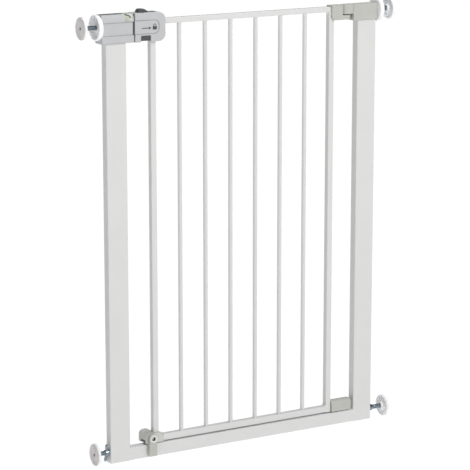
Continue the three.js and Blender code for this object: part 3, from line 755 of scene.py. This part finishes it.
def make_lever_pin():
    """The stop lever's pivot: a domed head and a plain shank, set in a dark cup that is painted shade
    for the inside of the hub's hole.
    """
    low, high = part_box("lever_pivot_pin")
    centre = ((low.x + high.x) / 2, low.y, (low.z + high.z) / 2)
    length = high.y - low.y
    head = (high.x - low.x) / 2
    shank = 0.8 * head
    thick = 1.6 * MM
    tip = 0.7 * head
    seat = 1.1 * MM
    points = [(0, 0, 0), (0.7 * tip, 0.1 * MM), (tip, 0.6 * MM), (tip, seat), (head, 1.3 * MM),
              (head, thick), (shank, thick), (shank, length), (0, length, 0)]
    made = lathe("lever_pin_turned", softened(points, 0.3 * MM, 3), "Y", centre,
                 MATERIALS["white_plastic"], 40)
    stands_for(made, "lever_pivot_pin")
    wall = head + 0.95 * MM
    mouth = -2.9 * MM
    thin = 0.2 * MM
    hole_shade = [(wall, mouth), (wall, thick), (tip + thin, thick - thin), (tip + thin, seat),
           (wall - thin, 1.0 * MM), (wall - thin, mouth)]
    # painted shade: the dark cup lines the hub's hole so that it reads as shadowed
    added(lathe("lever_hole_shade", hole_shade, "Y", centre, INK, 40), BODY_OF["stop_lever"])


SPRING = {"wire": 0.45 * MM, "turns": 6.5, "steps": 130, "flat": 0.08}  # flat: each end's share


def make_spring():
    """A coil with flat ends, which the trigger presses up against its top."""
    low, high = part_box("trigger_spring")
    wire = SPRING["wire"]
    coil = (high.x - low.x) / 2 - wire
    middle = (low + high) / 2
    rise = high.z - low.z - 2 * wire
    path = []
    for i in range(SPRING["steps"] + 1):
        t = i / SPRING["steps"]
        angle = 2 * math.pi * SPRING["turns"] * t
        lift = min(1.0, max(0.0, (t - SPRING["flat"]) / (1 - 2 * SPRING["flat"])))
        path.append((middle.x + coil * math.cos(angle), middle.y + coil * math.sin(angle),
                     low.z + wire + rise * lift + wire * 0.9 * (t - lift)))
    made = stands_for(swept("trigger_coil", path, wire, MATERIALS["zinc_steel"]), "trigger_spring")
    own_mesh(made)


# ---------- latch ----------
# the sunk panel's right edge is measured from the handle's left, and its margins from foot and head
PANEL = {"deep": 0.4 * MM, "right": 54 * MM, "foot": 15.4 * MM, "head": 14 * MM, "bend": 11 * MM}
GROOVE = {"wide": 1.4 * MM, "deep": 1.7 * MM}


def handle_panel(inset=0.0):
    """The outline of the sunk D-shaped panel on the handle's face, in (x, z)."""
    low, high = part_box("handle_front")
    left = low.x - PAST
    right = low.x + PANEL["right"] - inset
    foot = low.z + PANEL["foot"] + inset
    head = high.z - PANEL["head"] - inset
    bend = PANEL["bend"] - inset
    return [(left, foot), *arc((right - bend, foot + bend), bend, -90, 0, 8),
            *arc((right - bend, head - bend), bend, 0, 90, 8), (left, head)]


def make_handle():
    """The D-shaped panel is a little sunk, with a groove inside its edge."""
    low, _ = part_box("handle_front")
    front = bevelled(copied("handle_front"), 0.6, 3, angle=30)
    before = low.y - PAST
    carved(front, extruded("panel", handle_panel(), "Y", (before, low.y + PANEL["deep"]), COAT))
    floor = low.y + GROOVE["deep"]
    ring = extruded("ring", handle_panel(), "Y", (before, floor), COAT)
    core = extruded("core", handle_panel(GROOVE["wide"]), "Y", (before, floor + PAST), COAT)
    carved(front, carved(ring, core))
    stands_for(front, "handle_front")
    rounded_copy("handle_rear", 0.8)
    rounded_copy("handle_top_strip", 0.3)


def make_notch_rim():
    """A raised lip round the notch that the trigger sits in."""
    low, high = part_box("squeeze_trigger")
    case_low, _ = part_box("handle_front")
    lip, proud, sunk, overlap = 1.4 * MM, 0.5 * MM, 1 * MM, 0.2 * MM
    left, right = low.x + overlap, high.x - overlap
    foot, head = case_low.z + 0.9 * MM, high.z - 0.6 * MM
    bend = 2.5 * MM
    inner = [(left, foot), *arc((left + bend, head - bend), bend, 180, 90, 6),
             *arc((right - bend, head - bend), bend, 90, 0, 6), (right, foot)]
    wide = bend + lip
    outer = [(right + lip, foot), *arc((right - bend, head - bend), wide, 0, 90, 6),
             *arc((left + bend, head - bend), wide, 90, 180, 6), (left - lip, foot)]
    depth = (case_low.y - proud, case_low.y + sunk)
    made = extruded("notch_rim", inner + outer, "Y", depth, MATERIALS["silver_plastic"])
    added(bevelled(made, 0.3, 2), "door")


def make_thumb_slide():
    """The thumb slide, with grip ridges across the slope that falls to its right end."""
    low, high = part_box("thumb_slide")
    rounded_copy("thumb_slide", 0.9)
    crest = Vector((low.x + 15 * MM, high.z - 0.4 * MM))
    foot = Vector((high.x - 5 * MM, high.z - 3.1 * MM))
    inset = 2 * MM
    for i in range(4):
        x, z = crest.lerp(foot, 0.12 + 0.25 * i)
        path = [(x, low.y + inset, z), (x, high.y - inset, z)]
        rib = swept(f"thumb_ridge_{i + 1}", path, 0.4 * MM, MATERIALS["dark_plastic"])
        added(rib, "bolt")


def make_trigger():
    """The trigger, with ridges across its face."""
    rounded_copy("squeeze_trigger", 0.9, 4)
    low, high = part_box("squeeze_trigger")
    inset = 3 * MM
    gap = 1.6 * MM
    for i in range(3):
        z = low.z + gap * (i + 1)
        path = [(low.x + inset, low.y, z), (high.x - inset, low.y, z)]
        rib = swept(f"trigger_ridge_{i + 1}", path, 0.3 * MM, MATERIALS["dark_plastic"])
        added(rib, "trigger")


MARK = {"middle": 44 * MM, "unit": 1.3 * MM, "sunk": 0.2 * MM, "proud": 0.1 * MM}


def make_lock_mark():
    """A plain padlock and an arrow: which way the thumb slide opens the gate."""
    low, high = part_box("handle_front")
    panel = low.y + PANEL["deep"]
    face = (panel - MARK["sunk"], panel + MARK["proud"])
    middle = low.x + MARK["middle"]
    level = (low.z + high.z) / 2
    unit = MARK["unit"]
    body = rounded_rect((middle - 3.5 * unit, middle + 3.5 * unit),
                        (level - 4 * unit, level + 1.2 * unit), 0.8 * unit)
    added(extruded("mark_padlock", body, "Y", face, INK), "door")
    bow = [(middle + dx, face[1] - 0.3 * MM, dz)
           for dx, dz in arc((0, level + 2.2 * unit), 2.2 * unit, 180, 0, 12)]
    bow = [(bow[0][0], bow[0][1], level + 0.9 * unit)] + bow
    added(swept("mark_shackle", bow, 0.6 * MM, INK, 8), "door")
    tip = middle - 6 * unit
    shoulder, tail = tip - 4 * unit, tip - 16 * unit
    arrow = [(tail, -1.8), (shoulder, -1.8), (shoulder, -3.4), (tip, -1.2), (shoulder, 1.0),
             (shoulder, -0.6), (tail, -0.6)]
    arrow = [(x, level + rise * unit) for x, rise in arrow]
    added(extruded("mark_arrow", arrow, "Y", face, INK), "door")


BAND_EDGES = {"low": 14.6 * MM, "high": 41.6 * MM}  # of the sunk band, above the case's foot
BAND_SUNK = 0.9 * MM
BAND_LINE = {"wide": 1.4 * MM, "deep": 1.0 * MM}
BAND_LINE_INSET = 0.4 * MM
STRIKE_EDGE = {"wide": 2.4 * MM, "deep": 3 * MM, "inset": 0.2 * MM, "sunk": 0.5 * MM}


def make_housing_front():
    """A groove along each edge of the sunk band, and a dark strip let into its right end."""
    low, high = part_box("latch_housing_front")
    front = bevelled(copied("latch_housing_front"), 0.5)
    foot, head = low.z + BAND_EDGES["low"], low.z + BAND_EDGES["high"]
    band = low.y + BAND_SUNK
    before = low.y - PAST
    wide = BAND_LINE["wide"]
    for start in (foot + BAND_LINE_INSET, head - BAND_LINE_INSET - wide):
        outline = rounded_rect((before, band + BAND_LINE["deep"]), (start, start + wide), 0.3 * MM, 3)
        carved(front, extruded("line", outline, "X", (low.x - PAST, high.x + PAST), COAT))
    span = (foot + STRIKE_EDGE["inset"], head - STRIKE_EDGE["inset"])
    floor = low.y + STRIKE_EDGE["deep"]
    left = high.x - STRIKE_EDGE["wide"]
    step = rounded_rect((before, floor), span, 0.2 * MM, 2)
    carved(front, extruded("step", step, "X", (left, high.x + PAST), COAT))
    stands_for(front, "latch_housing_front")
    insert = rounded_rect((band + STRIKE_EDGE["sunk"], floor), span, 0.3 * MM, 3)
    strip = extruded("strike_edge", insert, "X", (left + 0.1 * MM, high.x), MATERIALS["dark_plastic"])
    added(strip, "frame")


SLOPE = {"back": 4 * MM, "fall": 9 * MM}  # how far the window's slope runs back and down
POINTER = {"start": 0.4 * MM, "wide": 2.4 * MM, "reach": 11.0 * MM, "fall": 4.9 * MM, "curve": 1.4}
SPOT = {"radius": 2.7 * MM, "flattened": 0.7, "left": 0.8 * MM, "down": 2.6 * MM}


def make_pointer():
    """A dark line that curves down the window's slope from its left end, and the spot below it."""
    low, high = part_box("indicator_lens")
    ridge = Vector((low.y + SLOPE["back"], high.z))
    along = (Vector((low.y, high.z - SLOPE["fall"])) - ridge).normalized()
    out = Vector((along.y, -along.x))
    proud, sunk = 0.12 * MM, -0.4 * MM

    def on_slope(right, down, lift):
        """A point to the right of the window's left end, down the slope and out of it."""
        place = ridge + along * down + out * lift
        return (low.x + right, place.x, place.y)

    def patch(name, outline, material):
        """A thin closed plate whose outline is given in (right, down) along the slope."""
        bm = bmesh.new()
        rings = [[bm.verts.new(on_slope(*p, lift)) for p in outline] for lift in (sunk, proud)]
        bridge(bm, *rings)
        for ring in rings:
            bm.faces.new(ring)
        added(finished(name, bm, material), "frame")

    steps = [i / 8 for i in range(9)]
    upper = [(POINTER["start"] + POINTER["reach"] * t, POINTER["fall"] * t ** POINTER["curve"])
             for t in steps]
    lower = [(right, down + POINTER["wide"]) for right, down in reversed(upper)]
    patch("window_pointer", upper + lower, INK)
    tip_right, tip_down = upper[-1]
    centre = (tip_right - SPOT["left"], tip_down + SPOT["down"])
    circle = arc(centre, SPOT["radius"], 0, 345, 23)
    spot = [(u, centre[1] + SPOT["flattened"] * (v - centre[1])) for u, v in circle]
    patch("window_spot", spot, OLIVE)


def make_housing():
    """The latch housing on the left post, with what it holds."""
    make_housing_front()
    rounded_copy("latch_housing_rear", 0.7)
    rounded_copy("housing_top_strip", 0.35)
    rounded_copy("strike_buffer", 0.3)
    rounded_copy("keeper_plate", 0.2)
    rounded_copy("indicator_lens", 0.25)
    rounded_copy("indicator_slide", 0.2)
    make_pointer()


def make_latch():
    """The housing, the handle and what moves in them."""
    make_housing()
    make_handle()
    make_notch_rim()
    make_lock_mark()
    make_thumb_slide()
    make_trigger()
    rounded_copy("latch_bolt", 0.5)


LOW_BLOCK_ROUND = 7 * MM
SLEEVE_ROUND = 6.5 * MM
# the thin pale ring that carries the hub's painted highlight
HUB_HIGHLIGHT_PROFILE = in_metres(
    [(4.1, 0.4), (4.1, -0.2), (4.5, -0.5), (8.3, -0.5), (8.8, -0.1), (8.8, 0.4)]
)


def make_foot_catch_body():
    """The catch's front right corner is rounded."""
    low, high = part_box("foot_catch_body")
    left, front, back = low.x - PAST, low.y - PAST, high.y + PAST
    turn = (high.x - SLEEVE_ROUND, low.y + SLEEVE_ROUND)
    plan = [(left, front), (turn[0] - SLEEVE_ROUND, front), (turn[0] - SLEEVE_ROUND, low.y),
            *arc(turn, SLEEVE_ROUND, -90, 0, 8), (high.x, back), (left, back)]
    span = (low.z - PAST, high.z + PAST)
    keep = extruded("plan", plan, "Z", span, MATERIALS["hinge_plastic"])
    made = carved(copied("foot_catch_body"), keep, operation="INTERSECT")
    made.data.materials[0] = CATCH
    stands_for(bevelled(made, 1.0), "foot_catch_body")


def make_catch_slot_shade():
    """A dark block in the catch's slot: painted shade for the shadow inside the slot."""
    low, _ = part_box("foot_catch_body")
    across_slot = (low.x + 1.5 * MM, low.x + 16 * MM)
    along_slot = (low.y + 5 * MM, low.y + 23.5 * MM)
    outline = rounded_rect(across_slot, along_slot, 0.8 * MM, 3)
    span = (low.z + 0.8 * MM, low.z + 6.9 * MM)
    # painted shade: a dark ink block fills the slot so that its inside reads as shadowed
    slot_shade = extruded("foot_catch_painted_shade", outline, "Z", span, INK)
    added(slot_shade, BODY_OF["foot_catch_body"])


def make_catch_ribs():
    """Four ribs across the catch's top, from front to back."""
    low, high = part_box("foot_catch_body")
    stile_low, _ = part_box("latch_stile")
    front, back = stile_low.y - 4 * MM, stile_low.y + 13.5 * MM
    z = high.z - 2.1 * MM
    for i in range(4):
        x = low.x + (5.5 + 3.4 * i) * MM
        rib = swept(f"foot_catch_rib_{i + 1}", [(x, front, z), (x, back, z)], 0.8 * MM, CATCH)
        added(rib, BODY_OF["foot_catch_body"])


def make_stop_lever():
    """The lever, with a pale ring on its hub: a painted highlight for the lit face of the hub."""
    rounded_copy("stop_lever", 0.8)
    pin_low, pin_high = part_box("lever_pivot_pin")
    lever_low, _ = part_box("stop_lever")
    centre = ((pin_low.x + pin_high.x) / 2, lever_low.y, (pin_low.z + pin_high.z) / 2)
    ring = lathe("lever_hub_highlight", HUB_HIGHLIGHT_PROFILE, "Y", centre, HUB_HIGHLIGHT, 48)
    added(ring, BODY_OF["stop_lever"])


def make_bottom_hinge_block():
    """The block's top is rounded over from front to back."""
    low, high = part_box("bottom_hinge_block")
    bend = LOW_BLOCK_ROUND
    foot = low.z - PAST
    dome = [(low.y, foot), (high.y, foot), *arc((high.y - bend, high.z - bend), bend, 0, 90, 8),
            *arc((low.y + bend, high.z - bend), bend, 90, 180, 8)]
    span = (low.x - PAST, high.x + PAST)
    shape = extruded("dome", dome, "X", span, MATERIALS["hinge_plastic"])
    made = carved(copied("bottom_hinge_block"), shape, operation="INTERSECT")
    stands_for(bevelled(made, 0.7), "bottom_hinge_block")


def make_hinges_and_foot():
    """The hinges, the foot catch, and the nuts and bushes on the spindles."""
    rounded_copy("top_hinge_bracket", 1.0)
    rounded_copy("top_hinge_block", 0.35)
    make_bottom_hinge_block()
    rounded_copy("bottom_pivot_stud", 0.3)
    make_foot_catch_body()
    make_catch_slot_shade()
    make_catch_ribs()
    make_stop_lever()
    rounded_copy("wing_nut_bottom_left", 0.4, 2)
    rounded_copy("wing_nut_bottom_right", 0.4, 2)
    rounded_copy("top_hinge_pin", 0.4)
    for corner in CORNERS:
        rounded_copy("spindle_bush_" + corner, 0.25, 2)


# ---------- stage ----------
CAMERA_PLACE = Vector((-1.8709, -3.8432, 1.4020))
CAMERA_TURN = 0.520  # radians to the right of +Y
CAMERA_TILT = 0.218  # radians below the horizon
LENS_MM = 168.6
SENSOR_MM = 36.0
FLOOR_REACH = 30.0
MIDDLE = (0.34, 0.0, 0.45)  # of the gate, where the lamps point
LAMPS = (  # name, place, size in metres, watts
    ("key", (0.6, -3.9, 3.3), 3.6, 136),
    ("top", (0.9, 0.4, 4.2), 3.0, 70),
)
AMBIENT = 0.24


def make_camera():
    """A long lens from the front left, a little above the gate."""
    data = bpy.data.cameras.new("camera")
    data.lens = LENS_MM
    data.sensor_width = SENSOR_MM
    data.clip_end = 100
    camera = bpy.data.objects.new("camera", data)
    ahead = Vector((math.sin(CAMERA_TURN) * math.cos(CAMERA_TILT),
                    math.cos(CAMERA_TURN) * math.cos(CAMERA_TILT), -math.sin(CAMERA_TILT)))
    camera.location = CAMERA_PLACE
    camera.rotation_euler = ahead.to_track_quat("-Z", "Y").to_euler()
    bpy.context.scene.collection.objects.link(camera)
    bpy.context.scene.camera = camera


def make_floor():
    """A plain white floor under the gate's lowest point."""
    z = CAD_BOX[0][2]
    bm = bmesh.new()
    signs = ((-1, -1), (1, -1), (1, 1), (-1, 1))
    bm.faces.new([bm.verts.new((x * FLOOR_REACH, y * FLOOR_REACH, z)) for x, y in signs])
    pale = Shader("pale_floor", (0.03, 0.03, 0.03), 0.9)
    pale.set("Emission Color", (1, 1, 1, 1)).set("Emission Strength", 1.0)
    pale.set("Specular IOR Level", 0.1)
    finished("floor", bm, pale.material)


def area_light(name, place, size, watts):
    """A round lamp that points at the gate."""
    data = bpy.data.lights.new(name, "AREA")
    data.shape = "DISK"
    data.size = size
    data.energy = watts
    light = bpy.data.objects.new(name, data)
    light.location = place
    light.rotation_euler = (Vector(MIDDLE) - Vector(place)).to_track_quat("-Z", "Y").to_euler()
    bpy.context.scene.collection.objects.link(light)


def make_lights():
    """The lamps and an even white surround."""
    for lamp in LAMPS:
        area_light(*lamp)
    world = bpy.data.worlds.new("studio")
    world.use_nodes = True
    background = world.node_tree.nodes["Background"]
    background.inputs["Color"].default_value = (1, 1, 1, 1)
    background.inputs["Strength"].default_value = AMBIENT
    bpy.context.scene.world = world


make_camera()
make_posts()
make_sill()
make_door_tubes()
make_bars()
make_gussets()
make_pads()
make_wheels()
make_screws()
make_lever_pin()
make_spring()
make_latch()
make_hinges_and_foot()
make_floor()
make_lights()
bpy.context.scene.view_settings.view_transform = "Standard"
